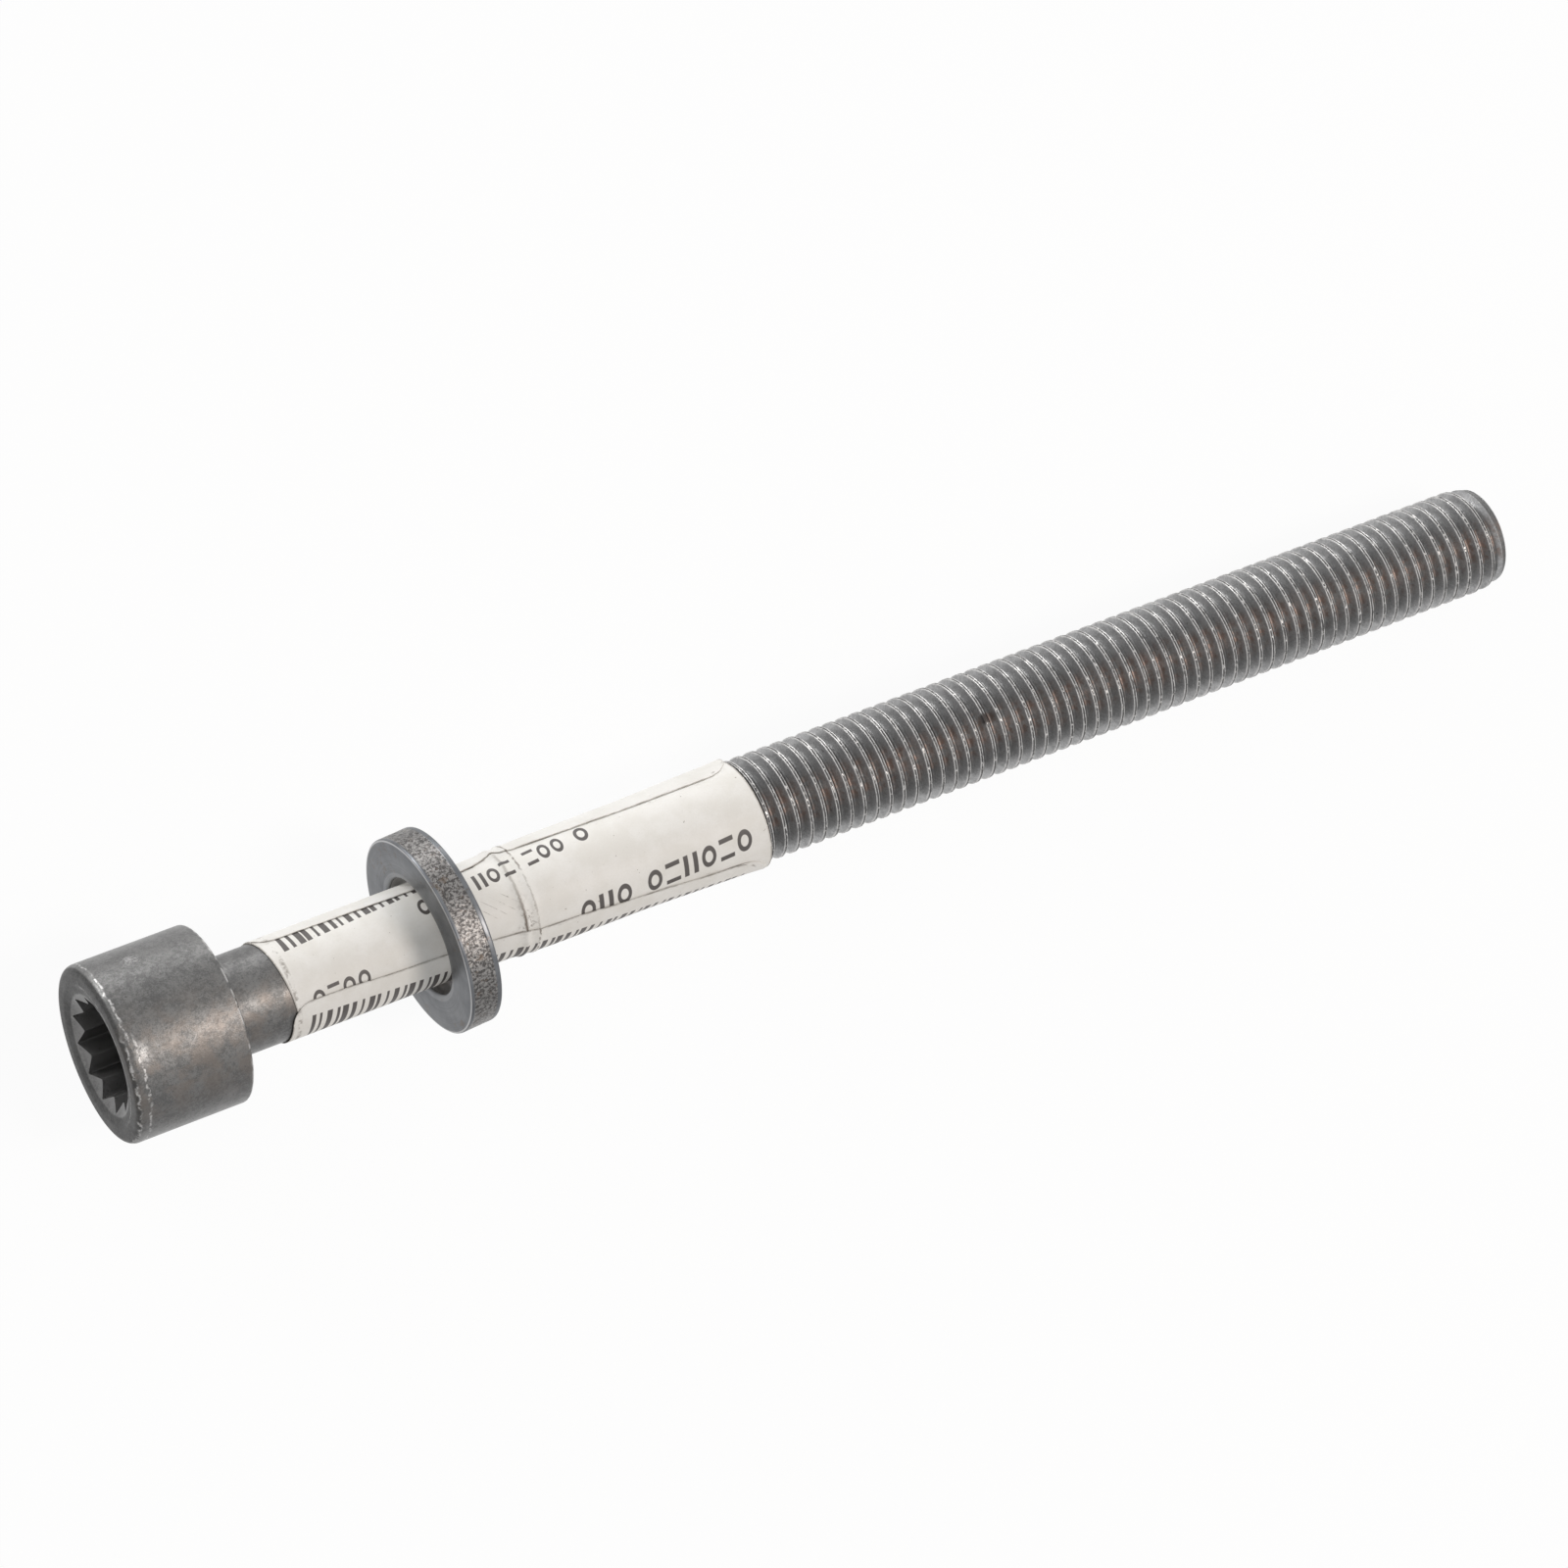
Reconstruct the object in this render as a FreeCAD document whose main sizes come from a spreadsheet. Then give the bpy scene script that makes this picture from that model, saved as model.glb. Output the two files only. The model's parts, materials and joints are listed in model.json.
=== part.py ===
"""Cylinder head bolt, M11 x 1.5, with its loose washer and two paper labels.

Every piece is drawn about the bolt's own axis: x runs from the face of the head to the tip, and
angles round the axis are counted from z towards y. The whole part is then laid down on z = 0,
where it rests on the rim of the washer and on the thread near the tip.
All lengths are in millimetres and all angles in degrees.
"""
import FreeCAD, Part
import Sketcher
import math
import os

SIZES = {
    # Head
    "head_diameter": 18.0,
    "head_length": 12.1,
    "head_front_round": 0.85,
    "head_back_bevel": 0.3,
    "neck_bevel": 0.5,
    # Shank and thread
    "shank_diameter": 10.0,
    "plain_length": 52.6,
    "thread_diameter": 10.85,
    "thread_lead_in": 2.0,
    "under_head_length": 146.1,
    "tip_chamfer_length": 1.5,
    "tip_diameter": 8.8,
    # Twelve point drive, made of three squares turned by 30 degrees
    "drive_across_points": 12.0,
    "drive_depth": 7.6,
    "drive_turn": 12.0,
    "drive_mouth_diameter": 14.5,
    "drive_mouth_cone_depth": 2.45,
    "drive_pilot_diameter": 9.0,
    "drive_point_depth": 1.4,
    # Washer, loose on the shank
    "washer_diameter": 20.3,
    "washer_thickness": 3.4,
    "washer_thread_clearance": 1.25,
    "washer_outer_bevel": 0.25,
    "washer_bore_bevel": 0.3,
    "washer_distance": 21.75,
    "washer_yaw": 3.3,
    "washer_seat_gap": 0.03,
    # Paper labels, the back one lapping over both edges of the front one
    "label_distance": 6.1,
    "label_length": 52.0,
    "label_corner_round": 2.2,
    "paper_thickness": 0.07,
    "paper_gap": 0.015,
    "bridge_length": 22.1,
    "crease_slope_length": 3.0,
    "loose_lift": 0.27,
    "flare_length": 3.5,
    "flare_lift": 0.05,
    "front_label_first_edge": -127.0,
    "front_label_wrap": 265.0,
    "upper_seam": 59.0,
    "lower_seam_at_head": -25.0,
    "lower_seam_at_thread": -65.0,
    "layer_step": 10.0,
}
DRIVE_SQUARES = 3
DRIVE_SPREAD = 60.0

doc = FreeCAD.newDocument("CylinderHeadBolt")
sheet = doc.addObject("Spreadsheet::Sheet", "Sizes")
for row, (alias, value) in enumerate(SIZES.items(), start=1):
    sheet.set(f"A{row}", alias)
    sheet.set(f"B{row}", str(value))
    sheet.setAlias(f"B{row}", alias)
doc.recompute()


def size(alias):
    """The number in a cell of the sheet."""
    return float(sheet.get(alias))


def origin_plane(body, role):
    """One of the origin planes of a body, such as XY_Plane."""
    return next(item for item in body.Origin.OriginFeatures if item.Role == role)


def new_sketch(body, name, role):
    """A sketch on one of the body's origin planes."""
    sketch = body.newObject("Sketcher::SketchObject", name)
    sketch.AttachmentSupport = [(origin_plane(body, role), "")]
    sketch.MapMode = "FlatFace"
    return sketch


def draw_outline(sketch, corners):
    """A closed outline whose corners are pairs of expressions, (along the axis, radius)."""
    points = [FreeCAD.Vector(*(float(sketch.evalExpression(text)) for text in corner), 0)
              for corner in corners]
    count = len(points)
    for index in range(count):
        sketch.addGeometry(Part.LineSegment(points[index], points[(index + 1) % count]), False)
    for index in range(count):
        sketch.addConstraint(Sketcher.Constraint("Coincident", index, 2, (index + 1) % count, 1))
    for index, (corner, point) in enumerate(zip(corners, points)):
        bind_distance(sketch, "DistanceX", index, corner[0], point.x)
        bind_distance(sketch, "DistanceY", index, corner[1], point.y)


def bind_distance(sketch, kind, line, text, value):
    """Holds the start of a line at a distance from the sketch's origin, given by an expression."""
    if text == "0":
        other_axis = -2 if kind == "DistanceX" else -1
        sketch.addConstraint(Sketcher.Constraint("PointOnObject", line, 1, other_axis))
        return
    number = sketch.addConstraint(Sketcher.Constraint(kind, -1, 1, line, 1, value))
    sketch.setExpression(f"Constraints[{number}]", text)


def turned(body, name, corners, kind="PartDesign::Revolution"):
    """A solid, or with kind Groove a cut, turned about the x axis."""
    sketch = new_sketch(body, name + "Outline", "XY_Plane")
    draw_outline(sketch, corners)
    feature = body.newObject(kind, name)
    feature.Profile = sketch
    feature.ReferenceAxis = (sketch, ["H_Axis"])
    feature.Angle = 360.0
    doc.recompute()
    return feature


def ring_edge(shape, along, radius):
    """The name of the circular edge about the x axis with this place and radius."""
    for number, edge in enumerate(shape.Edges, start=1):
        curve = edge.Curve
        if isinstance(curve, Part.Circle) and abs(curve.Radius - radius) < 1e-6:
            if abs(curve.Center.x - along) < 1e-6:
                return f"Edge{number}"
    raise ValueError(f"no circular edge at {along} with radius {radius}")


def round_head(body):
    """Rounds the edge between the side of the head and its end face."""
    outline = body.Tip
    fillet = body.newObject("PartDesign::Fillet", "HeadFrontRound")
    fillet.Base = (outline, [ring_edge(outline.Shape, 0.0, size("head_diameter") / 2)])
    fillet.setExpression("Radius", "Sizes.head_front_round")
    doc.recompute()


def must_remove(before, after, what):
    """A cut that removes nothing is a mistake."""
    if not after.Shape.Volume < before - 1.0:
        raise ValueError(f"{what} cuts nothing")


def make_bolt():
    """Head, shank and thread in one forging, with the thread as a plain crest diameter rod."""
    body = doc.addObject("PartDesign::Body", "Bolt")
    body.Label = "bolt"
    head = "Sizes.head_length"
    thread_start = "Sizes.head_length + Sizes.plain_length"
    tip = "Sizes.head_length + Sizes.under_head_length"
    head_radius = "Sizes.head_diameter / 2"
    shank_radius = "Sizes.shank_diameter / 2"
    crest_radius = "Sizes.thread_diameter / 2"
    back_bevel = "Sizes.head_back_bevel"
    neck_bevel = "Sizes.neck_bevel"
    turned(body, "Forging", [
        ("0", "0"),
        ("0", head_radius),
        (f"{head} - {back_bevel}", head_radius),
        (head, f"{head_radius} - {back_bevel}"),
        (head, f"{shank_radius} + {neck_bevel}"),
        (f"{head} + {neck_bevel}", shank_radius),
        (thread_start, shank_radius),
        (thread_start + " + Sizes.thread_lead_in", crest_radius),
        (tip + " - Sizes.tip_chamfer_length", crest_radius),
        (tip, "Sizes.tip_diameter / 2"),
        (tip, "0"),
    ])
    round_head(body)
    cut_drive(body)
    return body


def cut_drive(body):
    """The twelve point socket, with a shallow cone across its teeth and a drilled bottom."""
    square = new_sketch(body, "DriveSquare", "YZ_Plane")
    square.AttachmentOffset = FreeCAD.Placement(
        FreeCAD.Vector(), FreeCAD.Rotation(FreeCAD.Vector(0, 0, 1), size("drive_turn")))
    square.setExpression("AttachmentOffset.Rotation.Angle", "Sizes.drive_turn")
    half = size("drive_across_points") / math.sqrt(8)
    points = [FreeCAD.Vector(*place, 0)
              for place in ((-half, -half), (half, -half), (half, half), (-half, half))]
    for index in range(4):
        square.addGeometry(Part.LineSegment(points[index], points[(index + 1) % 4]), False)
    for index in range(4):
        square.addConstraint(Sketcher.Constraint("Coincident", index, 2, (index + 1) % 4, 1))
    for side, way in enumerate(("Horizontal", "Vertical", "Horizontal", "Vertical")):
        square.addConstraint(Sketcher.Constraint(way, side))
    square.addConstraint(Sketcher.Constraint("Symmetric", 0, 1, 2, 1, -1, 1))
    for side in (0, 1):
        number = square.addConstraint(Sketcher.Constraint("Distance", side, 2 * half))
        square.setExpression(f"Constraints[{number}]", "Sizes.drive_across_points / sqrt(2)")
    full = body.Tip.Shape.Volume
    pocket = body.newObject("PartDesign::Pocket", "DrivePocket")
    pocket.Profile = square
    pocket.Type = "Length"
    pocket.Reversed = True
    pocket.setExpression("Length", "Sizes.drive_depth")
    doc.recompute()
    must_remove(full, pocket, "the drive pocket")

    star = body.newObject("PartDesign::PolarPattern", "DrivePoints")
    star.Originals = [pocket]
    star.Axis = (square, ["N_Axis"])
    star.Angle = DRIVE_SPREAD
    star.Occurrences = DRIVE_SQUARES
    body.Tip = star
    doc.recompute()
    must_remove(pocket.Shape.Volume, star, "the pattern of the drive")

    mouth = turned(body, "DriveMouth", [
        ("0", "0"),
        ("0", "Sizes.drive_mouth_diameter / 2"),
        ("Sizes.drive_mouth_cone_depth", "0"),
    ], "PartDesign::Groove")
    must_remove(star.Shape.Volume, mouth, "the mouth of the drive")
    bottom = turned(body, "DriveBottom", [
        ("Sizes.drive_depth", "0"),
        ("Sizes.drive_depth", "Sizes.drive_pilot_diameter / 2"),
        ("Sizes.drive_depth + Sizes.drive_point_depth", "0"),
    ], "PartDesign::Groove")
    must_remove(mouth.Shape.Volume, bottom, "the bottom of the drive")


def make_washer():
    """A thick turned ring with bevelled edges, drawn with its front face at x = 0."""
    body = doc.addObject("PartDesign::Body", "Washer")
    body.Label = "washer"
    outer = "Sizes.washer_diameter / 2"
    bore = "(Sizes.thread_diameter + Sizes.washer_thread_clearance) / 2"
    back = "Sizes.washer_thickness"
    rim_bevel = "Sizes.washer_outer_bevel"
    bore_bevel = "Sizes.washer_bore_bevel"
    turned(body, "Ring", [
        ("0", f"{bore} + {bore_bevel}"),
        ("0", f"{outer} - {rim_bevel}"),
        (rim_bevel, outer),
        (f"{back} - {rim_bevel}", outer),
        (back, f"{outer} - {rim_bevel}"),
        (back, f"{bore} + {bore_bevel}"),
        (f"{back} - {bore_bevel}", bore),
        (bore_bevel, bore),
    ])
    return body


def paper_bends():
    """Places and inner radii where the paper bends, as it bridges from the shank to the thread."""
    tight = size("shank_diameter") / 2 + size("paper_gap")
    loose = tight + size("loose_lift")
    crest = size("thread_diameter") / 2 + size("paper_gap")
    thread_start = size("head_length") + size("plain_length")
    crease = thread_start - size("bridge_length")
    return [
        (crease, tight),
        (crease + size("crease_slope_length"), loose),
        (thread_start - size("thread_lead_in"), loose),
        (thread_start + size("thread_lead_in"), crest),
    ]


def label_ends():
    """Where both labels start and end along the axis."""
    start = size("head_length") + size("label_distance")
    return start, start + size("label_length")


def paper_radius(along):
    """Radius of the inner side of the paper, which flares a little at its end on the thread."""
    bends = paper_bends()
    radius = bends[0][1] if along < bends[0][0] else bends[-1][1]
    for (first, low), (last, high) in zip(bends, bends[1:]):
        if first <= along <= last:
            radius = low + (high - low) * (along - first) / (last - first)
    flare_start = label_ends()[1] - size("flare_length")
    return radius + size("flare_lift") * max(0.0, along - flare_start) / size("flare_length")


def bend_places():
    """The label's two ends and every bend between them."""
    start, end = label_ends()
    bends = [place for place, _ in paper_bends()] + [end - size("flare_length")]
    inside = [place for place in bends if start < place < end]
    places = [start]
    for place in sorted(inside) + [end]:
        if place - places[-1] > 1e-6:
            places.append(place)
    return places


def ring_point(along, radius, angle):
    turn = math.radians(angle)
    return FreeCAD.Vector(along, radius * math.sin(turn), radius * math.cos(turn))


def paper_line(along, path):
    """Edges along a path of (angle, radius): arcs where the radius stays, lines where it steps."""
    edges = []
    for (first, low), (last, high) in zip(path, path[1:]):
        start, end = ring_point(along, low, first), ring_point(along, high, last)
        if low == high:
            middle = ring_point(along, low, (first + last) / 2)
            edges.append(Part.Arc(start, middle, end).toShape())
        else:
            edges.append(Part.LineSegment(start, end).toShape())
    return edges


def paper_section(along, path):
    """One cross section of a label: the path, and the path lifted by the paper's thickness."""
    lifted = [(angle, radius + size("paper_thickness")) for angle, radius in path]
    ends = [Part.LineSegment(ring_point(along, low[1], low[0]),
                             ring_point(along, high[1], high[0])).toShape()
            for low, high in ((path[0], lifted[0]), (path[-1], lifted[-1]))]
    return Part.Wire(Part.__sortEdges__(paper_line(along, path) + [ends[1]]
                                        + paper_line(along, lifted) + [ends[0]]))


def seam_angles():
    """Angles of the back label's lower edge at the label's two ends, counted on from the upper."""
    return size("lower_seam_at_head") + 360, size("lower_seam_at_thread") + 360


def seam_tool():
    """A block whose side cuts the back label's lower edge aslant, from one end to the other."""
    start, end = label_ends()
    reach = size("thread_diameter")
    first, last = (ring_point(place, reach / 2, angle)
                   for place, angle in zip((start, end), seam_angles()))
    middle = (first + last) / 2
    outwards = ring_point(0, 1, sum(seam_angles()) / 2)
    block = Part.makeBox(3 * size("label_length"), reach, reach,
                         FreeCAD.Vector(-1.5 * size("label_length"), 0, 0))
    block.Placement = FreeCAD.Placement(
        FreeCAD.Vector(middle.x, 0, 0),
        FreeCAD.Rotation(last - first, FreeCAD.Vector(), outwards, "ZXY"))
    return block


def front_edges():
    """Both long edges of the front label, which lie hidden under the back one."""
    first = size("front_label_first_edge")
    return first, first + size("front_label_wrap")


def corner_tool(along, inwards, angle, turn):
    """A square post less a round one: what rounds a label's corner off when it is cut away."""
    radius = size("label_corner_round")
    reach = size("thread_diameter")
    spare = 1.0
    post = Part.makeBox(radius + spare, radius + spare, reach,
                        FreeCAD.Vector(-spare, -spare, 0))
    tool = post.cut(Part.makeCylinder(radius, reach, FreeCAD.Vector(radius, radius, 0)))
    lengthways, sideways = FreeCAD.Vector(inwards, 0, 0), ring_point(0, turn, angle + 90)
    first, second = (lengthways, sideways) if inwards == turn else (sideways, lengthways)
    tool.Placement = FreeCAD.Placement(
        FreeCAD.Vector(along, 0, 0),
        FreeCAD.Rotation(first, second, ring_point(0, 1, angle), "ZXY"))
    return tool


def make_label(name, label, paper, first_edges, last_edges):
    """A sheet of paper with its corners rounded. The edges are pairs of angles, one for each end."""
    ends = list(zip(label_ends(), (1, -1), first_edges, last_edges))
    corners = [corner_tool(place, inwards, first, 1) for place, inwards, first, _ in ends]
    corners += [corner_tool(place, inwards, last, -1) for place, inwards, _, last in ends]
    feature = doc.addObject("Part::Feature", name)
    feature.Label = label
    feature.Shape = paper.cut(corners)
    return feature


def make_front_label():
    """Turned about the shank, because both its long edges run straight along it."""
    first, last = front_edges()
    thickness = size("paper_thickness")
    inner = [ring_point(place, paper_radius(place), first) for place in bend_places()]
    outer = [ring_point(place, paper_radius(place) + thickness, first)
             for place in bend_places()]
    section = Part.Face(Part.makePolygon(inner + outer[::-1] + inner[:1]))
    paper = section.revolve(FreeCAD.Vector(), FreeCAD.Vector(-1, 0, 0), last - first)
    return make_label("FrontLabel", "front_label", paper, (first, first), (last, last))


def make_back_label():
    """Lofted: it lies on the shank behind, and steps up over the front label's edges."""
    first, last = front_edges()
    lift = size("paper_thickness") + size("paper_gap")
    step = size("layer_step")
    upper = size("upper_seam")
    sections = []
    for place in bend_places():
        low = paper_radius(place)
        high = low + lift
        sections.append(paper_section(place, [
            (upper, high), (last, high), (last + step, low), (first + 360 - step, low),
            (first + 360, high), (max(seam_angles()), high)]))
    paper = Part.makeLoft(sections, True, True).cut(seam_tool())
    return make_label("BackLabel", "back_label", paper, (upper, upper), seam_angles())


def washer_lift():
    """Height of the washer's centre over the bolt's axis, as the shank hangs in its bore."""
    bore_radius = (size("thread_diameter") + size("washer_thread_clearance")) / 2
    middle = size("head_length") + size("washer_distance") + size("washer_thickness") / 2
    shank_and_paper = paper_radius(middle) + size("paper_thickness")
    return bore_radius - shank_and_paper - size("washer_seat_gap")


def rest_slope():
    """Downward slope of the axis when the washer's rim and the thread's end touch the ground."""
    washer_middle = (size("head_length") + size("washer_distance")
                     + size("washer_thickness") / 2)
    rim = washer_middle + size("washer_thickness") / 2 - size("washer_outer_bevel")
    thread_end = (size("head_length") + size("under_head_length")
                  - size("tip_chamfer_length"))
    drop = (size("washer_diameter") - size("thread_diameter")) / 2 - washer_lift()
    return math.degrees(math.atan(drop / (thread_end - rim)))


def hang_washer(washer):
    """Hangs the washer on the shank, seam up, and swings it about the plumb line at its foot."""
    along = size("head_length") + size("washer_distance")
    straight = FreeCAD.Placement(FreeCAD.Vector(along, 0, washer_lift()),
                                 FreeCAD.Rotation(FreeCAD.Vector(1, 0, 0), 90))
    foot = FreeCAD.Vector(along + size("washer_thickness") - size("washer_outer_bevel"), 0,
                          washer_lift() - size("washer_diameter") / 2)
    level = FreeCAD.Rotation(FreeCAD.Vector(0, 1, 0), -rest_slope())
    plumb = level.multVec(FreeCAD.Vector(0, 0, 1))
    swing = FreeCAD.Placement(FreeCAD.Vector(), FreeCAD.Rotation(plumb, size("washer_yaw")), foot)
    washer.Placement = swing.multiply(straight)


def lay_down(pieces):
    """Tilts the whole bolt to its rest, then centres it over the origin with its foot at z = 0."""
    tilt = FreeCAD.Placement(FreeCAD.Vector(),
                             FreeCAD.Rotation(FreeCAD.Vector(0, 1, 0), rest_slope()))
    for piece in pieces:
        piece.Placement = tilt.multiply(piece.Placement)
    doc.recompute()
    bounds = Part.makeCompound([piece.Shape for piece in pieces]).optimalBoundingBox(False)
    shift = FreeCAD.Placement(
        FreeCAD.Vector(-bounds.Center.x, -bounds.Center.y, -bounds.ZMin), FreeCAD.Rotation())
    for piece in pieces:
        piece.Placement = shift.multiply(piece.Placement)
    doc.recompute()


def check_document(pieces):
    """Stops before anything is written if a feature failed or a piece is not a sound solid."""
    for item in doc.Objects:
        if "Invalid" in item.State or "Error" in item.State:
            raise ValueError(f"{item.Name} failed: {item.State}")
    for piece in pieces:
        shape = piece.Shape
        if shape.isNull() or not shape.isValid() or len(shape.Solids) != 1:
            raise ValueError(f"{piece.Label} is not one valid solid")


def write_parts(pieces):
    os.makedirs("parts", exist_ok=True)
    for piece in pieces:
        piece.Shape.exportStep(f"parts/{piece.Label}.step")
        print(piece.Label, round(piece.Shape.Volume, 2), piece.Shape.BoundBox)


bolt = make_bolt()
washer = make_washer()
hang_washer(washer)
front_label = make_front_label()
back_label = make_back_label()
doc.recompute()

all_pieces = [bolt, washer, front_label, back_label]
lay_down(all_pieces)
check_document(all_pieces)
write_parts(all_pieces)
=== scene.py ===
# %% [markdown]
# # A cylinder head bolt, dressed for its portrait
#
# A head bolt is a long, slim screw that clamps an engine's cylinder head to its block. This one
# has a round head with a twelve point socket, a bare shank, a fine rolled thread, a thick washer
# that hangs loose on the shank, and two paper labels wrapped round it.
#
# The solid model comes first. It is loaded as a fixed frame in metres, and everything made here
# is laid over it.

# %% The solid model
import json
import math
import bmesh
import bpy
import numpy as np
from mathutils import Matrix, Vector, noise


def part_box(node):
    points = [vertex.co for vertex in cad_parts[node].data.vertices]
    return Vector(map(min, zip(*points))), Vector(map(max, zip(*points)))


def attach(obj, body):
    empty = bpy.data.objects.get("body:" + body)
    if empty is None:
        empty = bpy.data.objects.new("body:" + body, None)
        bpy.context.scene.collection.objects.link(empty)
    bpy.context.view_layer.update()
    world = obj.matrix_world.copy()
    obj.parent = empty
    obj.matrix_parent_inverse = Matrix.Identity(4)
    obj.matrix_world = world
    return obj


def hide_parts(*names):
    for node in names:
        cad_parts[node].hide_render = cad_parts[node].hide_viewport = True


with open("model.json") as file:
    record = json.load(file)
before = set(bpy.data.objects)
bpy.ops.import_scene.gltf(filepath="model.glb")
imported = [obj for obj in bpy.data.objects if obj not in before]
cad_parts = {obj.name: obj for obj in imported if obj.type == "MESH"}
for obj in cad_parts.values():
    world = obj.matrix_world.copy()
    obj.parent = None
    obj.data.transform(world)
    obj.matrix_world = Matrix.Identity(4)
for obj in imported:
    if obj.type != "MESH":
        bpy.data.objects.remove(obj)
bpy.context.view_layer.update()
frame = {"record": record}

# %% [markdown]
# ## The bolt's own axis
#
# The bolt lies on the rim of its washer and on its thread, so its axis slopes a little. Turned
# parts are much easier to draw about their own axis, in millimetres, and to lay down afterwards.
# The matrix for that is read from the socket's mount in the record: x runs from the face of the
# head to the tip, and an angle round the axis is counted from straight up towards y.

# %% Laying the bolt down
socket_mount = next(m for m in frame["record"]["mounts"] if m["name"] == "drive_socket")
along = -Vector(socket_mount["axis"]).normalized()
across = Vector((0, 1, 0))
upright = along.cross(across)
axes = Matrix((along, across, upright)).transposed()
lay = Matrix.Translation(socket_mount["pos_m"]) @ axes.to_4x4() @ Matrix.Scale(0.001, 4)
slope = math.atan2(-along.z, along.x)
print("the axis slopes", round(math.degrees(slope), 3), "degrees")

# %% [markdown]
# ## The camera
#
# The camera stands above the head's end and looks down along the bolt, from far enough away for
# the perspective to be slight. Its place and its three directions were worked out from the
# bolt's known sizes, so they are given in the bolt's own coordinates and then laid down with it.

# %% The camera
CAMERA_PLACE = Vector((-177.95, 1.13, 614.8))
lens = bpy.data.cameras.new("camera")
lens.lens = 154.73
lens.sensor_width = 36
lens.shift_y = 0.0007
camera = bpy.data.objects.new("camera", lens)
bpy.context.collection.objects.link(camera)
looking = Matrix(((0.8652, 0.3259, -0.3810), (-0.3525, 0.9358, 0.0), (0.3566, 0.1343, 0.9246)))
camera.matrix_world = Matrix.Translation(lay @ CAMERA_PLACE) @ (axes @ looking).to_4x4()
bpy.context.scene.camera = camera
print("camera at", tuple(round(c, 4) for c in camera.matrix_world.translation))

# %% [markdown]
# ## From a bmesh to a piece
#
# Every piece ends in the same few steps: the bmesh is laid down, becomes a mesh, is shaded
# smooth except at real corners, stands in for its solid node and rides on the frame's body.
# A small function does this, so that the cells below show only how each shape is made.

# %% Finishing a piece
SHARP_FROM = 38


def finish_piece(name, shape, node, place=lay):
    """Lays a shape down and makes it the piece that stands for a node of the solid model."""
    bmesh.ops.transform(shape, matrix=place, verts=shape.verts)
    mesh = bpy.data.meshes.new(name)
    shape.to_mesh(mesh)
    shape.free()
    mesh.shade_smooth()
    mesh.set_sharp_from_angle(angle=math.radians(SHARP_FROM))
    piece = bpy.data.objects.new(name, mesh)
    bpy.context.collection.objects.link(piece)
    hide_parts(node)
    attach(piece, "root")
    mesh.calc_loop_triangles()
    print(name, len(mesh.vertices), "vertices", len(mesh.loop_triangles), "triangles")
    return piece


def radius_of(point):
    """Distance from the bolt's axis."""
    return math.hypot(point.y, point.z)


def everything(shape):
    return shape.verts[:] + shape.edges[:] + shape.faces[:]

# %% [markdown]
# ## The rolled thread
#
# A fine thread could be a bump in the material, but its crests make the bolt's outline, so it is
# real geometry here. Half of one groove is drawn from the middle of its root to the middle of
# the crest. Rolling pushes the metal up from both sides, which leaves two small ridges and a
# shallow seam on each crest. The mirror of those points gives the other half.

# %% One groove of the thread
PITCH = 1.5
CREST = 5.42
ROOT = 4.565
HALF_GROOVE = ((0, ROOT), (0.08, 4.58), (0.15, 4.625), (0.2, 4.69), (0.241, 4.75), (0.535, 5.26),
               (0.56, 5.36), (0.585, 5.408), (0.61, CREST), (0.64, 5.405), (0.68, 5.38), (0.75, 5.372))
groove = list(HALF_GROOVE) + [(PITCH - x, r) for x, r in reversed(HALF_GROOVE[:-1])]
print("points in one pitch of the thread:", len(groove))

# %% [markdown]
# Spin turns the groove round the axis, and its dvec moves it along a little at every step, so
# that one full turn advances by one pitch: a screw. Where one turn ends, the next one starts,
# so the other turns are copies. Each doubling copies all that is there and moves the copy on,
# and six doublings make 64 turns. Merging the doubles then sews them into one skin.

# %% One turn, doubled six times
STEPS = 48
TURNS = 64
THREAD_FROM = 62.18
bolt = bmesh.new()
points = [bolt.verts.new((THREAD_FROM + x, 0, r)) for x, r in groove]
lines = [bolt.edges.new(pair) for pair in zip(points, points[1:])]
bmesh.ops.spin(bolt, geom=points + lines, cent=(0, 0, 0), axis=(1, 0, 0), angle=math.tau,
               steps=STEPS, dvec=(PITCH / STEPS, 0, 0), use_merge=False)
turns = 1
while turns < TURNS:
    copy = bmesh.ops.duplicate(bolt, geom=everything(bolt))["geom"]
    moved = [part for part in copy if isinstance(part, bmesh.types.BMVert)]
    bmesh.ops.translate(bolt, verts=moved, vec=(turns * PITCH, 0, 0))
    turns *= 2
bmesh.ops.remove_doubles(bolt, verts=bolt.verts, dist=0.002)
print("turns", turns, "faces", len(bolt.faces))

# %% [markdown]
# A screw made this way has a ragged start and end. A bisect with a plane cuts both straight, and
# clears what lies outside. Before the cut, the thread is faded at both ends by moving its
# vertices in or out: into the bare shank under the labels, and into the worn cone at the tip,
# where the rolling dies never touched the end of the blank. A noise also presses shallow nicks
# into the crests, and leaves the roots as they are.

# %% Fading and cutting the thread's ends
SHANK_RADIUS = 5.0
THREAD_START = 64.2
THREAD_END = 157.85
FADE_LENGTH = 1.9
NICK_SCALE, NICK_FROM, NICK_DEPTH = 0.9, 0.28, 0.04
TIP_CREST = ((155.3, CREST), (156.1, 5.36), (156.9, 5.2), (157.5, 5.04), (157.85, 4.93))
TIP_ROOT = ((156.7, ROOT), (157.3, 4.72), (157.7, 4.92), (157.85, 4.93))


def read(table, x):
    """Straight-line reading of a table of (x, value) pairs."""
    return float(np.interp(x, *zip(*table)))


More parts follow.
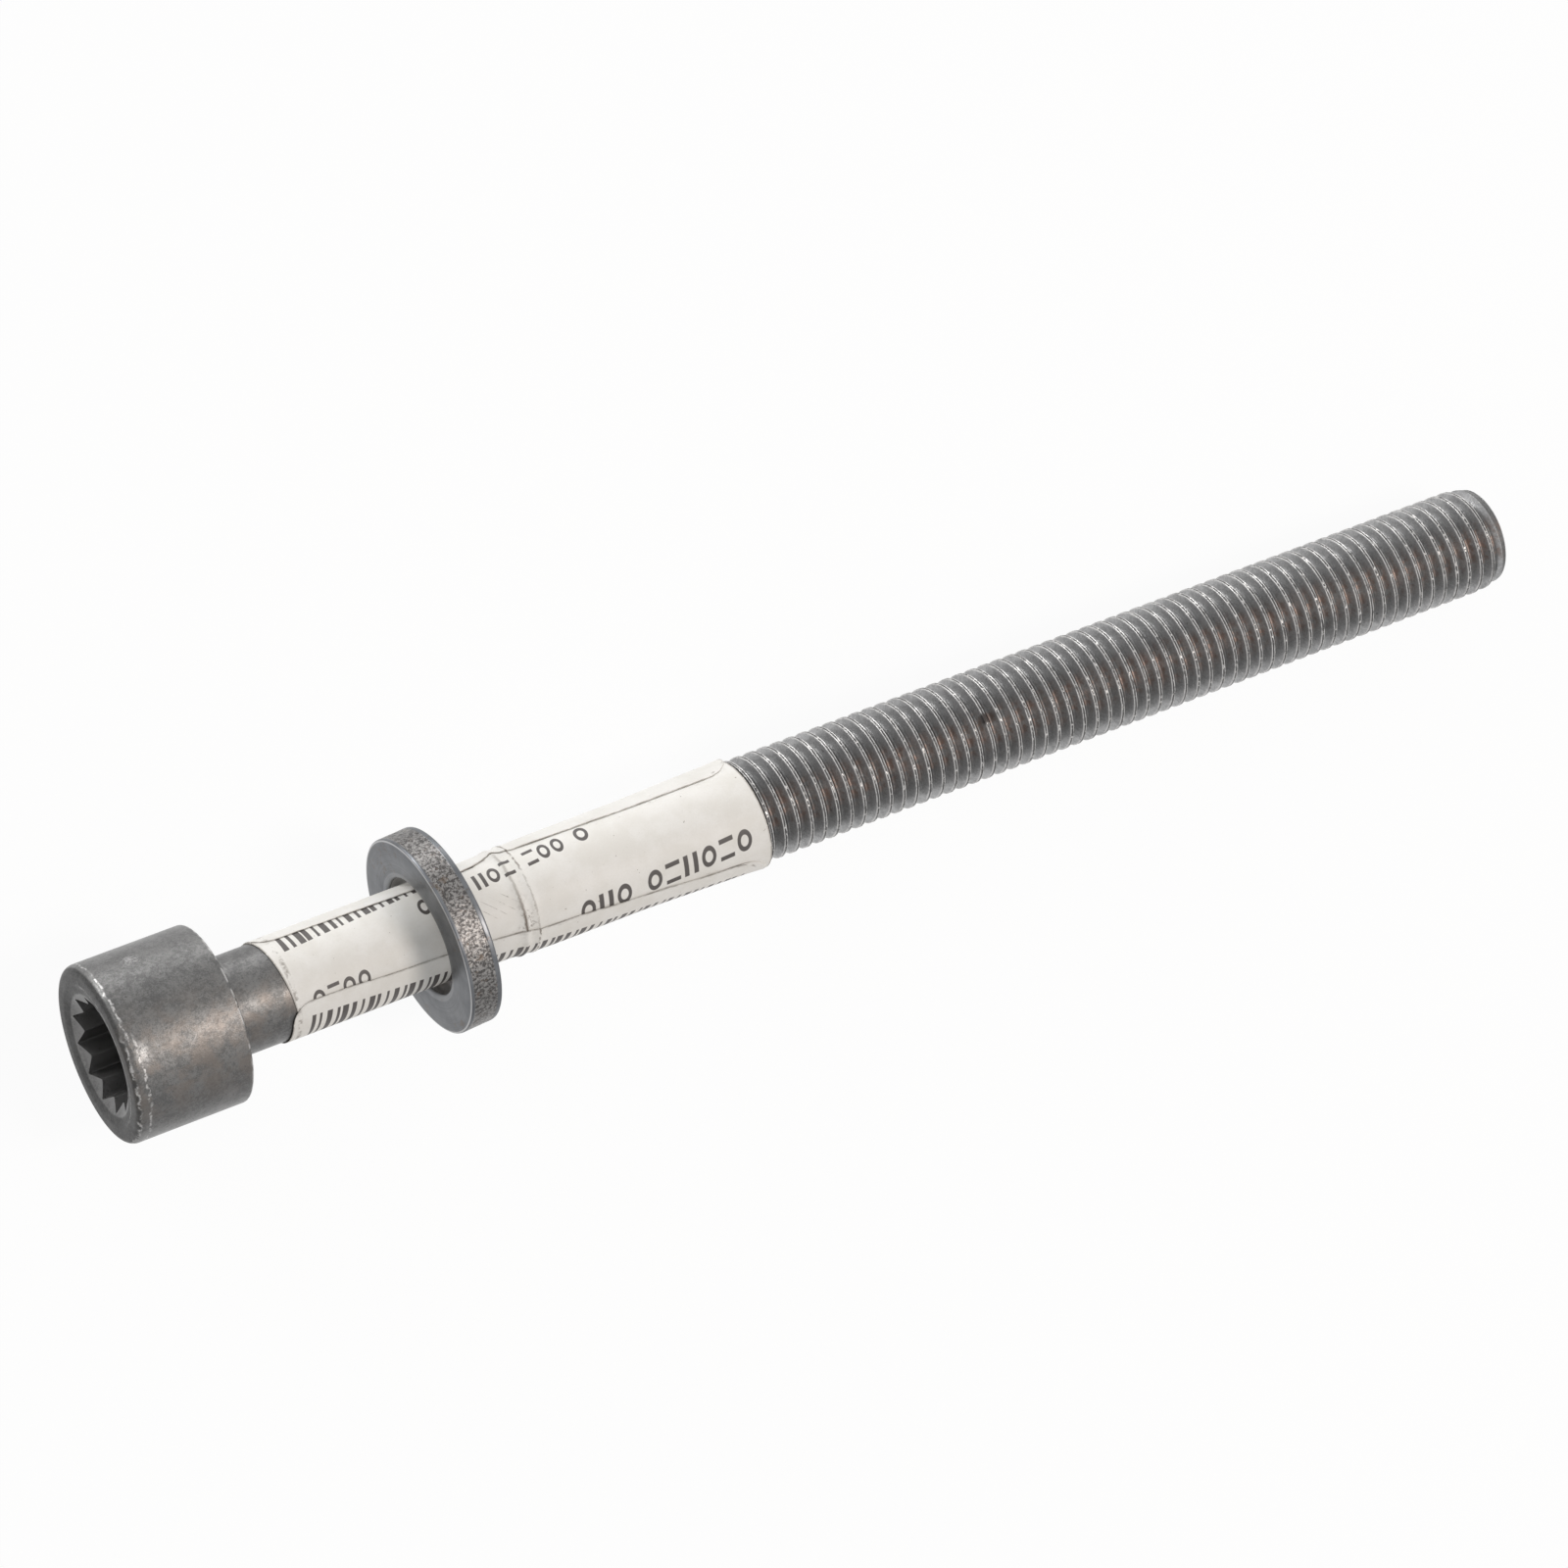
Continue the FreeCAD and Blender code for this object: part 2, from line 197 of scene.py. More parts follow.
for vert in bolt.verts:
    x, radius = vert.co.x, radius_of(vert.co)
    depth = (radius - ROOT) / (CREST - ROOT)
    wanted = read(TIP_ROOT, x) + depth * (read(TIP_CREST, x) - read(TIP_ROOT, x))
    fade = min(max((x - THREAD_START - 0.1) / FADE_LENGTH, 0), 1)
    wanted = SHANK_RADIUS + (wanted - SHANK_RADIUS) * fade * fade * (3 - 2 * fade)
    nick = max(noise.noise(vert.co * NICK_SCALE) - NICK_FROM, 0)
    wanted -= NICK_DEPTH * nick * depth
    vert.co.y *= wanted / radius
    vert.co.z *= wanted / radius
for place, outside in ((THREAD_START, -1), (THREAD_END, 1)):
    bmesh.ops.bisect_plane(bolt, geom=everything(bolt), dist=0.0005, plane_co=(place, 0, 0),
                           plane_no=(outside, 0, 0), clear_outer=True)
start_rim = [edge for edge in bolt.edges if edge.is_boundary and edge.verts[0].co.x < 70]
end_rim = [edge for edge in bolt.edges if edge.is_boundary and edge.verts[0].co.x > 150]
print("rim edges at the start and the end:", len(start_rim), len(end_rim))

# %% [markdown]
# The tip is drawn out from the thread's last rim: extrude the rim's edges, then move the new
# vertices to the next place on the worn cone. The last ring is drawn together in the middle of
# the end face and merged into one point, so the tip is closed.

# %% The tip
TIP_LENGTH = 158.2


def draw_out(shape, rim, x, radius):
    """Extrudes a rim of edges to a circle farther along the axis, and gives the new rim."""
    made = bmesh.ops.extrude_edge_only(shape, edges=rim)["geom"]
    for vert in (part for part in made if isinstance(part, bmesh.types.BMVert)):
        share = radius / max(radius_of(vert.co), 1e-6)
        vert.co = (x, vert.co.y * share, vert.co.z * share)
    return [part for part in made if isinstance(part, bmesh.types.BMEdge)]


def draw_shut(shape, rim, x):
    """Closes a rim with a fan of faces round a point on the axis."""
    made = bmesh.ops.extrude_edge_only(shape, edges=rim)["geom"]
    new = [part for part in made if isinstance(part, bmesh.types.BMVert)]
    bmesh.ops.pointmerge(shape, verts=new, merge_co=(x, 0, 0))


for x, radius in ((158.0, 4.78), (158.12, 4.6), (158.19, 4.4), (TIP_LENGTH, 4.15), (TIP_LENGTH, 2.0)):
    end_rim = draw_out(bolt, end_rim, x, radius)
draw_shut(bolt, end_rim, TIP_LENGTH)
print("tip closed at", TIP_LENGTH)

# %% [markdown]
# ## The head and the shank
#
# Head and shank are turned and forged shapes, so a plain outline with sharp corners is spun a
# full turn, with use_merge on to sew the last step to the first. The corners are rounded after
# that: a bevel on the ring of edges at each corner gives the true radius all the way round.

# %% Spinning the outline
HEAD_RADIUS = 9.0
HEAD_LENGTH = 12.1
MOUTH_RADIUS = 7.25
SOCKET_RING = 6.2
AROUND = 192
HIDDEN_GAP = 0.4


def mouth_depth(radius):
    """How deep the cone round the socket's mouth lies; it is steeper across the teeth."""
    return 0.24 * (MOUTH_RADIUS - radius) + 0.36 * max(6.0 - radius, 0)


outline = ((mouth_depth(SOCKET_RING), SOCKET_RING), (0, MOUTH_RADIUS), (0, HEAD_RADIUS),
           (HEAD_LENGTH, HEAD_RADIUS), (HEAD_LENGTH, SHANK_RADIUS), (THREAD_START - HIDDEN_GAP, SHANK_RADIUS))
points = [bolt.verts.new((x, 0, r)) for x, r in outline]
lines = [bolt.edges.new(pair) for pair in zip(points, points[1:])]
bmesh.ops.spin(bolt, geom=points + lines, cent=(0, 0, 0), axis=(1, 0, 0), angle=math.tau,
               steps=AROUND, use_merge=True)


def ring_at(shape, x, radius):
    """The edges of the circle at one place along the axis and one radius."""
    def on_it(vert):
        return abs(vert.co.x - x) < 0.01 and abs(radius_of(vert.co) - radius) < 0.01
    return [edge for edge in shape.edges if all(map(on_it, edge.verts))]


for x, radius, rounding, pieces in ((0, MOUTH_RADIUS, 0.12, 2), (0, HEAD_RADIUS, 0.85, 8),
                                    (HEAD_LENGTH, HEAD_RADIUS, 0.3, 4),
                                    (HEAD_LENGTH, SHANK_RADIUS, 0.8, 6)):
    bmesh.ops.bevel(bolt, geom=ring_at(bolt, x, radius), offset=rounding, offset_type="OFFSET",
                    segments=pieces, profile=0.5, affect="EDGES", material=-1)
print("head and shank spun,", len(bolt.faces), "faces so far")

# %% [markdown]
# The shank's open rim and the thread's rim lie 0.4 mm apart, hidden by the labels. They have
# different numbers of edges, which bridge_loops takes in its stride.

# %% Joining the shank to the thread
shank_rim = ring_at(bolt, THREAD_START - HIDDEN_GAP, SHANK_RADIUS)
bmesh.ops.bridge_loops(bolt, edges=shank_rim + start_rim)
print("shank joined, open edges left:", sum(edge.is_boundary for edge in bolt.edges))

# %% [markdown]
# ## The twelve point socket
#
# Three squares turned by thirty degrees make a star with twelve points. The same star comes
# from a circle of 24 vertices with every second one moved in. The corners are worn, so a vertex
# bevel rounds them a little, and the straight sides are divided until the star has as many
# vertices as the ring round it. Each vertex then drops to the depth of the cone at its radius.

# %% The star
POINT_RADIUS = 6.0
TOOTH_RADIUS = POINT_RADIUS * math.sin(math.radians(45)) / math.sin(math.radians(60))
SOCKET_TURN = 12
star = bmesh.new()
bmesh.ops.create_circle(star, segments=24, radius=POINT_RADIUS, cap_ends=False)
bmesh.ops.rotate(star, verts=star.verts, cent=(0, 0, 0), matrix=Matrix.Rotation(math.radians(90), 3, "Y"))
star.verts.ensure_lookup_table()
for vert in star.verts:
    step = round(math.degrees(math.atan2(vert.co.y, vert.co.z)) / 15)
    radius = TOOTH_RADIUS if step % 2 else POINT_RADIUS
    angle = math.radians(15 * step + SOCKET_TURN)
    vert.co = (0, radius * math.sin(angle), radius * math.cos(angle))
bmesh.ops.bevel(star, geom=star.verts[:], offset=0.14, offset_type="OFFSET", segments=3,
                profile=0.5, affect="VERTICES", material=-1)
sides = [edge for edge in star.edges if edge.calc_length() > 0.5]
bmesh.ops.subdivide_edges(star, edges=sides, cuts=(AROUND - len(star.verts)) // len(sides))
for vert in star.verts:
    vert.co.x = mouth_depth(radius_of(vert.co))
print("star with", len(star.verts), "vertices, teeth at", round(TOOTH_RADIUS, 3))

# %% [markdown]
# The star joins the bolt's bmesh by way of a mesh, is bridged to the ring of the mouth, and its
# edges are extruded down to the bottom of the socket. There the wall turns in to the drilled
# pilot hole, whose cone is closed in a point.

# %% Sinking the socket
SOCKET_DEPTH = 7.6
PILOT_RADIUS = 4.5
PILOT_DEPTH = 1.4
star_mesh = bpy.data.meshes.new("star")
star.to_mesh(star_mesh)
star.free()
mouth_rim = [edge for edge in bolt.edges if edge.is_boundary]
known = set(bolt.edges)
bolt.from_mesh(star_mesh)
star_rim = [edge for edge in bolt.edges if edge not in known]
bmesh.ops.bridge_loops(bolt, edges=mouth_rim + star_rim)
made = bmesh.ops.extrude_edge_only(bolt, edges=star_rim)["geom"]
for vert in (part for part in made if isinstance(part, bmesh.types.BMVert)):
    vert.co.x = SOCKET_DEPTH
floor_rim = [part for part in made if isinstance(part, bmesh.types.BMEdge)]
floor_rim = draw_out(bolt, floor_rim, SOCKET_DEPTH, PILOT_RADIUS)
draw_shut(bolt, floor_rim, SOCKET_DEPTH + PILOT_DEPTH)
bpy.data.meshes.remove(star_mesh)
bmesh.ops.recalc_face_normals(bolt, faces=bolt.faces)
print("open edges on the finished bolt:", sum(edge.is_boundary for edge in bolt.edges))

# %% [markdown]
# The bolt's skin is closed now, from the cone in the socket to the middle of the tip, so it can be
# laid down and made into the piece that stands for the solid bolt.

# %% The bolt as a piece
bolt_piece = finish_piece("bolt_body", bolt, "bolt")

# %% [markdown]
# ## The washer
#
# The washer is a thick turned ring that hangs on the shank, a little askew. Its outline is spun
# about its own axis. The bore and the rim get small bevels. The rim was left as it came from the
# bar, rough and pitted, so its surface is divided finely and the pits are real dents: a noise
# read at each vertex says how far it moves in.

# %% The washer
WASHER_RADIUS = 10.145
BORE_RADIUS = 6.05
THICK = 3.4
PIT_DEPTH = 0.09
PITTED_FROM, PITTED_TO = -1.3, 1.1
washer_axis = Vector(next(m for m in frame["record"]["mounts"] if m["name"] == "washer_face")["axis"])
washer_axis.normalize()
low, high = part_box("washer")
washer_middle = (Vector(low) + Vector(high)) / 2
side_way = upright.cross(washer_axis).normalized()
hang = (Matrix.Translation(washer_middle)
        @ Matrix((washer_axis, side_way, washer_axis.cross(side_way))).transposed().to_4x4()
        @ Matrix.Scale(0.001, 4))
washer = bmesh.new()
corners = [washer.verts.new((x, 0, r)) for x, r in (
    (-THICK / 2, BORE_RADIUS), (-THICK / 2, WASHER_RADIUS),
    (THICK / 2, WASHER_RADIUS), (THICK / 2, BORE_RADIUS))]
lines = [washer.edges.new((corners[i], corners[(i + 1) % 4])) for i in range(4)]
bmesh.ops.spin(washer, geom=corners + lines, cent=(0, 0, 0), axis=(1, 0, 0), angle=math.tau,
               steps=384, use_merge=True)
for radius, rounding in ((BORE_RADIUS, 0.4), (WASHER_RADIUS, 0.2)):
    rings = ring_at(washer, -THICK / 2, radius) + ring_at(washer, THICK / 2, radius)
    bmesh.ops.bevel(washer, geom=rings, offset=rounding, offset_type="OFFSET", segments=3,
                    profile=0.5, affect="EDGES", material=-1)


def on_the_rim(vert):
    return radius_of(vert.co) > WASHER_RADIUS - 0.01


rows = [edge for edge in washer.edges if all(map(on_the_rim, edge.verts)) and edge.calc_length() > 1]
bmesh.ops.subdivide_edges(washer, edges=rows, cuts=19, use_grid_fill=True)
for vert in washer.verts:
    if on_the_rim(vert) and PITTED_FROM < vert.co.x < PITTED_TO:
        pit = 0.55 * noise.noise(vert.co * 2.4) + 0.45 * noise.noise(vert.co * 5.3)
        share = 1 - max(pit + 0.1, 0) * PIT_DEPTH / WASHER_RADIUS
        vert.co.y *= share
        vert.co.z *= share
bmesh.ops.recalc_face_normals(washer, faces=washer.faces)
washer_piece = finish_piece("washer_ring", washer, "washer", place=hang)

# %% [markdown]
# ## The paper labels
#
# Two paper stickers, 52 mm long with round corners, are wrapped round the shank. The back one
# laps over both long edges of the front one, and its own edges wander. Each label starts as a
# flat sheet: one face with its four corners bevelled, cut into small cells with bisects so that
# it can bend. The cells are finest where the paper is creased.

# %% A flat sheet
SHEET_LENGTH = 52.0
PAPER = 0.07
COARSE, FINE = 0.5, 0.2
CREASED_FROM, CREASED_TO = 24, 28


def flat_sheet(width, right_corner):
    """A flat label from (0, 0) to its length and width, in millimetres."""
    sheet = bmesh.new()
    bmesh.ops.create_grid(sheet, x_segments=1, y_segments=1, size=0.5)
    bmesh.ops.translate(sheet, verts=sheet.verts, vec=(0.5, 0.5, 0))
    bmesh.ops.scale(sheet, verts=sheet.verts, vec=(SHEET_LENGTH, width, 1))
    for end, rounding in ((0, 2.2), (SHEET_LENGTH, right_corner)):
        corners = [vert for vert in sheet.verts if vert.co.x == end]
        bmesh.ops.bevel(sheet, geom=corners, offset=rounding, offset_type="OFFSET", segments=8,
                        profile=0.5, affect="VERTICES", material=-1)
    cuts = np.concatenate([np.arange(COARSE, CREASED_FROM, COARSE), np.arange(CREASED_FROM, CREASED_TO, FINE),
                           np.arange(CREASED_TO, SHEET_LENGTH, COARSE)])
    for cut in cuts:
        bmesh.ops.bisect_plane(sheet, geom=everything(sheet), dist=1e-5, plane_co=(cut, 0, 0),
                               plane_no=(1, 0, 0))
    for cut in np.arange(0.55, width, 0.55):
        bmesh.ops.bisect_plane(sheet, geom=everything(sheet), dist=1e-5, plane_co=(0, cut, 0),
                               plane_no=(0, 1, 0))
    return sheet


print("a flat label is", SHEET_LENGTH, "mm long")

# %% [markdown]
# The radius under the paper changes along the bolt: it lies tight on the bare shank, is creased
# where it leaves it, stands off loosely up to the thread, and flares out at its free end.
# A table gives that, and a little noise makes the loose part uneven. Both labels read the same
# radius, and the back one adds its step over the front one, so they never cut through each other.
# Its long edges are lifted a little more, which gives them their fine shadow.

# %% Where the paper lies
UNDER_PAPER = ((17.0, 5.02), (38.0, 5.02), (42.4, 5.06), (42.95, 5.12), (43.36, 5.3), (43.8, 5.16),
               (44.3, 5.2), (44.67, 5.31), (45.2, 5.23), (47.0, 5.27), (57.0, 5.31), (62.0, 5.44),
               (66.5, 5.5), (68.5, 5.55), (69.4, 5.61), (70.6, 5.7))
UPPER_SEAM = ((17.6, 60.3), (20.25, 59.5), (24.5, 58), (27.5, 57), (29.5, 56), (33.7, 55),
              (39.5, 55.5), (41, 57.5), (42, 61), (42.7, 65.5), (43.2, 67.2), (43.7, 66), (44.2, 62),
              (44.9, 58.7), (49.9, 55.7), (61, 52.5), (66.3, 51.5), (70.6, 50.5))
LOWER_SEAM = ((17.6, -24), (20.5, -25), (24.5, -26), (27, -28), (29.5, -29.5), (33.7, -31),
              (39.5, -34.5), (43.5, -38.7), (44.9, -41.7), (49.3, -43), (52.7, -46), (58.2, -50),
              (62.4, -53.7), (66.6, -55.7), (70.6, -58.5))


LOOSE_FROM, LOOSE_IN = 43, 3
FRONT_FROM, FRONT_TURN = -127, 265
STEP = 0.015
LIFT, LIFT_REACH = 0.04, 0.8


def under_paper(x, angle):
    """Radius of the inner side of the front label."""
    loose = min(max((x - LOOSE_FROM) / LOOSE_IN, 0), 1)
    turned = math.radians(angle)
    wave = noise.noise(Vector((x * 0.12, math.sin(turned) * 1.3, math.cos(turned) * 1.3)))
    return read(UNDER_PAPER, x) + (0.06 * loose + 0.004) * (wave + 0.1)


def front_place(p, share):
    """Where a point of the front label goes: place along the axis, angle and radius."""
    angle = FRONT_FROM + FRONT_TURN * share
    left, right = 18.42 - 0.0101 * angle, 69.97 - 0.0065 * angle
    x = left + (right - left) * p / SHEET_LENGTH
    return x, angle, under_paper(x, angle)


def back_place(p, share):
    """The same for the back label, which runs over the back from the upper to the lower seam."""
    x = 17.65 + 0.7 * share ** 3 + p
    angle = read(UPPER_SEAM, x) + (360 + read(LOWER_SEAM, x) - read(UPPER_SEAM, x)) * share
    edge = min(share, 1 - share) * 25
    curl = LIFT * max(1 - edge / LIFT_REACH, 0)
    return x, angle, under_paper(x, angle) + PAPER + STEP + curl


print("radius under the paper at the thread:", round(under_paper(68, 0), 3))

# %% [markdown]
# Wrapping moves every vertex of the sheet to its place round the axis. Solidify then gives the
# sheet its thickness. A UV map keeps each point's place along and round the bolt, for the print,
# and a number per vertex keeps how far it is from the seam or from the label's own end, for the
# dirt that gathers there. The seam is measured along the back label's edge, round corners too.

# %% Wrapping a sheet
MM_PER_DEGREE = 0.092
UV_LENGTH, UV_TURN_FROM, UV_TURN = 100, 130, 480
UPPER_EDGE = (((17.8, 75), (18.25, 66), (19.25, 60.5)) + UPPER_SEAM[1:-2]
              + ((66.3, 52), (67.4, 55), (68.4, 62), (69.6, 72)))
LOWER_EDGE = (((18.4, -40), (18.75, -34), (19.5, -29)) + LOWER_SEAM[1:-2]
              + ((66.6, -55.7), (67.9, -60), (68.9, -70)))


def close_points(path):
    """A line of (x, angle) pairs as many close points, in millimetres along and round the bolt."""
    xs, angles = np.array(path).T
    rounds = angles * MM_PER_DEGREE
    run = np.concatenate([[0], np.cumsum(np.hypot(np.diff(xs), np.diff(rounds)))])
    steps = np.arange(0, run[-1], 0.1)
    return np.stack([np.interp(steps, run, xs), np.interp(steps, run, rounds)], 1)


edge_points = np.concatenate([close_points(UPPER_EDGE), close_points(LOWER_EDGE)])


def seam_distance(x, angle):
    """How far a place on the label is from the back label's long edges."""
    turn = 360 * MM_PER_DEGREE
    off = (angle * MM_PER_DEGREE - edge_points[:, 1] + turn / 2) % turn - turn / 2
    return float(np.hypot(x - edge_points[:, 0], off).min())


def wrap_label(width, place, turn_from, right_corner):
    """A label of that width, wrapped, thickened and mapped."""
    sheet = flat_sheet(width, right_corner)
    seam = sheet.verts.layers.float.new("seam_mm")
    end = sheet.verts.layers.float.new("end_mm")
    for vert in sheet.verts:
        x, angle, radius = place(vert.co.x, vert.co.y / width)
        vert[end] = min(vert.co.x, SHEET_LENGTH - vert.co.x)
        vert[seam] = seam_distance(x, angle)
        turned = math.radians(angle)
        vert.co = (x, radius * math.sin(turned), radius * math.cos(turned))
    sheet.normal_update()
    face = next(iter(sheet.faces))
    middle = face.calc_center_median()
    if face.normal.dot(Vector((0, middle.y, middle.z))) < 0:
        bmesh.ops.reverse_faces(sheet, faces=sheet.faces[:])
    bmesh.ops.solidify(sheet, geom=sheet.faces[:], thickness=-PAPER)
    layout = sheet.loops.layers.uv.new("wrap")
    for face in sheet.faces:
        for loop in face.loops:
            place_at = loop.vert.co
            angle = math.degrees(math.atan2(place_at.y, place_at.z))
            angle = (angle - turn_from) % 360 + turn_from
            loop[layout].uv = (place_at.x / UV_LENGTH, (angle + UV_TURN_FROM) / UV_TURN)
    radii = [radius_of(vert.co) for vert in sheet.verts]
    print("label between radius", round(min(radii), 3), "and", round(max(radii), 3))
    print("vertices within 0.3 mm of a seam:", sum(vert[seam] < 0.3 for vert in sheet.verts))
    return sheet


front_sheet = wrap_label(24.6, front_place, -140, 2.2)
front_piece = finish_piece("front_sticker", front_sheet, "front_label")
back_sheet = wrap_label(24.9, back_place, 20, 3.0)
back_piece = finish_piece("back_sticker", back_sheet, "back_label")

# %% [markdown]
# ## A paintbox
#
# The finishes are procedural: nodes work them out from where a point lies. Wiring nodes by hand
# takes many lines, so a small class keeps one material's nodes and offers the few kinds used
# here by short names. A number given to it is set on the socket and another node's output is
# wired to it.

# %% The paintbox
class Paintbox:
    """The nodes of one material."""

    def __init__(self, name):
        self.material = bpy.data.materials.new(name)
        self.material.use_nodes = True
        self.tree = self.material.node_tree
        self.tree.nodes.clear()

    def node(self, kind, values=(), **settings):
        """A node with its settings, and values for its sockets by name or number."""
        made = self.tree.nodes.new("ShaderNode" + kind)
        for key, value in settings.items():
            setattr(made, key, value)
        for key, value in dict(values).items():
            if isinstance(value, bpy.types.NodeSocket):
                self.tree.links.new(value, made.inputs[key])
            else:
                made.inputs[key].default_value = value
        return made

    def calc(self, operation, *values):
        return self.node("Math", enumerate(values), operation=operation).outputs[0]

    def rise(self, value, low, high, bottom=0.0, top=1.0):
        """A smooth step from bottom to top while the value goes from low to high."""
        return self.node("MapRange", {"Value": value, "From Min": low, "From Max": high,
                                      "To Min": bottom, "To Max": top},
                         interpolation_type="SMOOTHSTEP").outputs[0]

    def band(self, value, middle, width, soft=0.3):
        """1 near the middle, falling to 0 past half the width."""
        off = self.calc("ABSOLUTE", self.calc("SUBTRACT", value, middle))
        return self.rise(off, width / 2 * (1 + soft), width / 2 * (1 - soft))

    def blend(self, share, first, second):
        return self.node("Mix", {0: share, 6: first, 7: second}, data_type="RGBA").outputs[2]

    def grain(self, place, scale, detail=3.0, roughness=0.55):
        return self.node("TexNoise", {"Vector": place, "Scale": scale, "Detail": detail,
                                      "Roughness": roughness}).outputs[0]

    def all_of(self, *values):
        product = values[0]
        for value in values[1:]:
            product = self.calc("MULTIPLY", product, value)
        return product

    def most_of(self, *values):
        largest = values[0]
        for value in values[1:]:
            largest = self.calc("MAXIMUM", largest, value)
        return largest

    def radius_in(self, parts):
        """The distance from the x axis of a point that was separated into its parts."""
        return self.calc("SQRT", self.calc("ADD", self.calc("MULTIPLY", parts[1], parts[1]),
                                           self.calc("MULTIPLY", parts[2], parts[2])))

    def finish(self, surface):
        self.node("OutputMaterial", {"Surface": surface})
        print(self.material.name, "uses", len(self.tree.nodes), "nodes")
        return self.material


def on_the_bolt(box):
    """The point in the bolt's own millimetres, then x, radius and angle in degrees."""
    here = box.node("TexCoord").outputs["Object"]
    spot = box.node("Mapping", {"Vector": here, "Location": socket_mount["pos_m"],
                                "Rotation": (0, slope, 0), "Scale": (0.001, 0.001, 0.001)},
                    vector_type="TEXTURE").outputs[0]
    parts = box.node("SeparateXYZ", {0: spot}).outputs
    radius = box.radius_in(parts)
    angle = box.calc("MULTIPLY", box.calc("ARCTAN2", parts[1], parts[2]), 180 / math.pi)
    return spot, parts[0], radius, angle


print("paintbox ready")

# %% [markdown]
# ## Worn, phosphated steel
#
# The bolt is dark grey: a thin phosphate coat over steel. Noises of several sizes, from clouds
# to a fine grain, are added up to one tone, which mixes a darker and a lighter grey. The side
# that faces the camera has brownish patches only where the warm lamp's highlight falls: partly
# stain and partly a painted warm tint of that highlight. The inside of the socket is painted a
# little lighter, as painted light on its walls, and the end face of the head is darker.

# %% The grey coat
box = Paintbox("worn_phosphate_steel")
spot, x, radius, angle = on_the_bolt(box)
flecks = box.grain(spot, 3.2, 4, 0.7)
fine = box.grain(spot, 9.0, 2, 0.6)
tone = 0.0
for layer, share in ((box.grain(spot, 0.3, 5, 0.6), 0.2), (box.grain(spot, 1.1, 4, 0.65), 0.25),
                     (flecks, 0.3), (fine, 0.25)):
    tone = box.calc("ADD", tone, box.calc("MULTIPLY", layer, share))
mottle = box.rise(tone, 0.42, 0.58)
steel = box.blend(mottle, (0.074, 0.073, 0.072, 1), (0.145, 0.143, 0.14, 1))
# Brownish patches under the warm lamp's highlight: partly stain, partly painted warm tint.
stain_and_warm_tint = box.all_of(box.band(angle, -20, 62, 0.6), box.rise(box.grain(spot, 0.45, 4, 0.6), 0.4, 0.62), 0.6)
steel = box.blend(stain_and_warm_tint, steel, (0.15, 0.125, 0.107, 1))
# Painted light: the socket's walls are made lighter, standing in for the light that falls in.
inside = box.all_of(box.rise(x, 0.35, 0.8), box.rise(x, 10, 9.5), box.rise(radius, 6.4, 6.2))
steel = box.blend(inside, steel, (0.15, 0.148, 0.146, 1))
on_face = box.all_of(box.rise(x, 0.45, 0.2), box.rise(radius, 6.0, 6.4))
steel = box.blend(box.calc("MULTIPLY", on_face, 0.6), steel, (0.045, 0.045, 0.045, 1))
print("nodes for the coat:", len(box.tree.nodes))

# %% [markdown]
# Handling has rubbed the head bright where it sticks out: in thin lines along the rounded front
# corner, round part of the socket's mouth and on the back edge. Each line is a band in x or in
# radius. Its middle wanders with a noise, and another noise breaks it up, so that it looks worn
# and not painted. A painted highlight spot, where the warm lamp's highlight falls on the front of
# the head, and a scuff lie where the photo has them.

# %% Rubbed edges and a painted highlight on the head
wander = box.calc("SUBTRACT", box.grain(spot, 0.9, 3), 0.5)
patchy = box.rise(box.grain(spot, 1.6, 4, 0.75), 0.42, 0.6)
shifted = box.calc("ADD", x, box.calc("MULTIPLY", wander, 0.9))
ringed = box.calc("ADD", radius, box.calc("MULTIPLY", wander, 0.4))
upper_side = box.rise(angle, -6, 12)
lower_side = box.calc("SUBTRACT", 1.0, upper_side)
front_line = box.all_of(box.band(shifted, 0.75, 0.2, 0.8), box.rise(radius, 8.2, 8.5), upper_side,
                        box.rise(patchy, 0, 1, 0.1, 0.62))
low_line = box.all_of(box.band(shifted, 0.3, 0.2, 0.8), box.rise(radius, 8.0, 8.2), lower_side, patchy, 0.55)
second_line = box.all_of(box.band(shifted, 1.25, 0.2, 0.8), box.rise(radius, 8.6, 8.9), lower_side,
                         patchy, 0.6)
mouth_line = box.all_of(box.band(ringed, 7.2, 0.24, 0.8), box.rise(x, 0.4, 0.1), patchy,
                        box.band(angle, 0, 150, 0.2), 0.35)
back_line = box.all_of(box.band(x, 11.98, 0.22, 0.7), box.rise(radius, 8.6, 8.8),
                       box.rise(box.grain(spot, 1.1, 3), 0.4, 0.6), 0.6)
# Painted highlight: a bright spot where the warm lamp's highlight falls on the head's front.
painted_highlight_spot = box.all_of(box.band(x, 1.7, 0.9, 0.9), box.band(angle, -8, 10, 0.9),
                       box.rise(flecks, 0.3, 0.6), 0.45)
scuff = box.all_of(box.band(x, 4.8, 1.3, 0.8), box.band(angle, 56, 8, 0.8), box.rise(flecks, 0.42, 0.55), 0.3)
# The rubbed lines and the painted highlight spot together.
wear_and_highlight = box.most_of(front_line, low_line, second_line, mouth_line, back_line, painted_highlight_spot, scuff)
print("nodes with the rubbed edges:", len(box.tree.nodes))
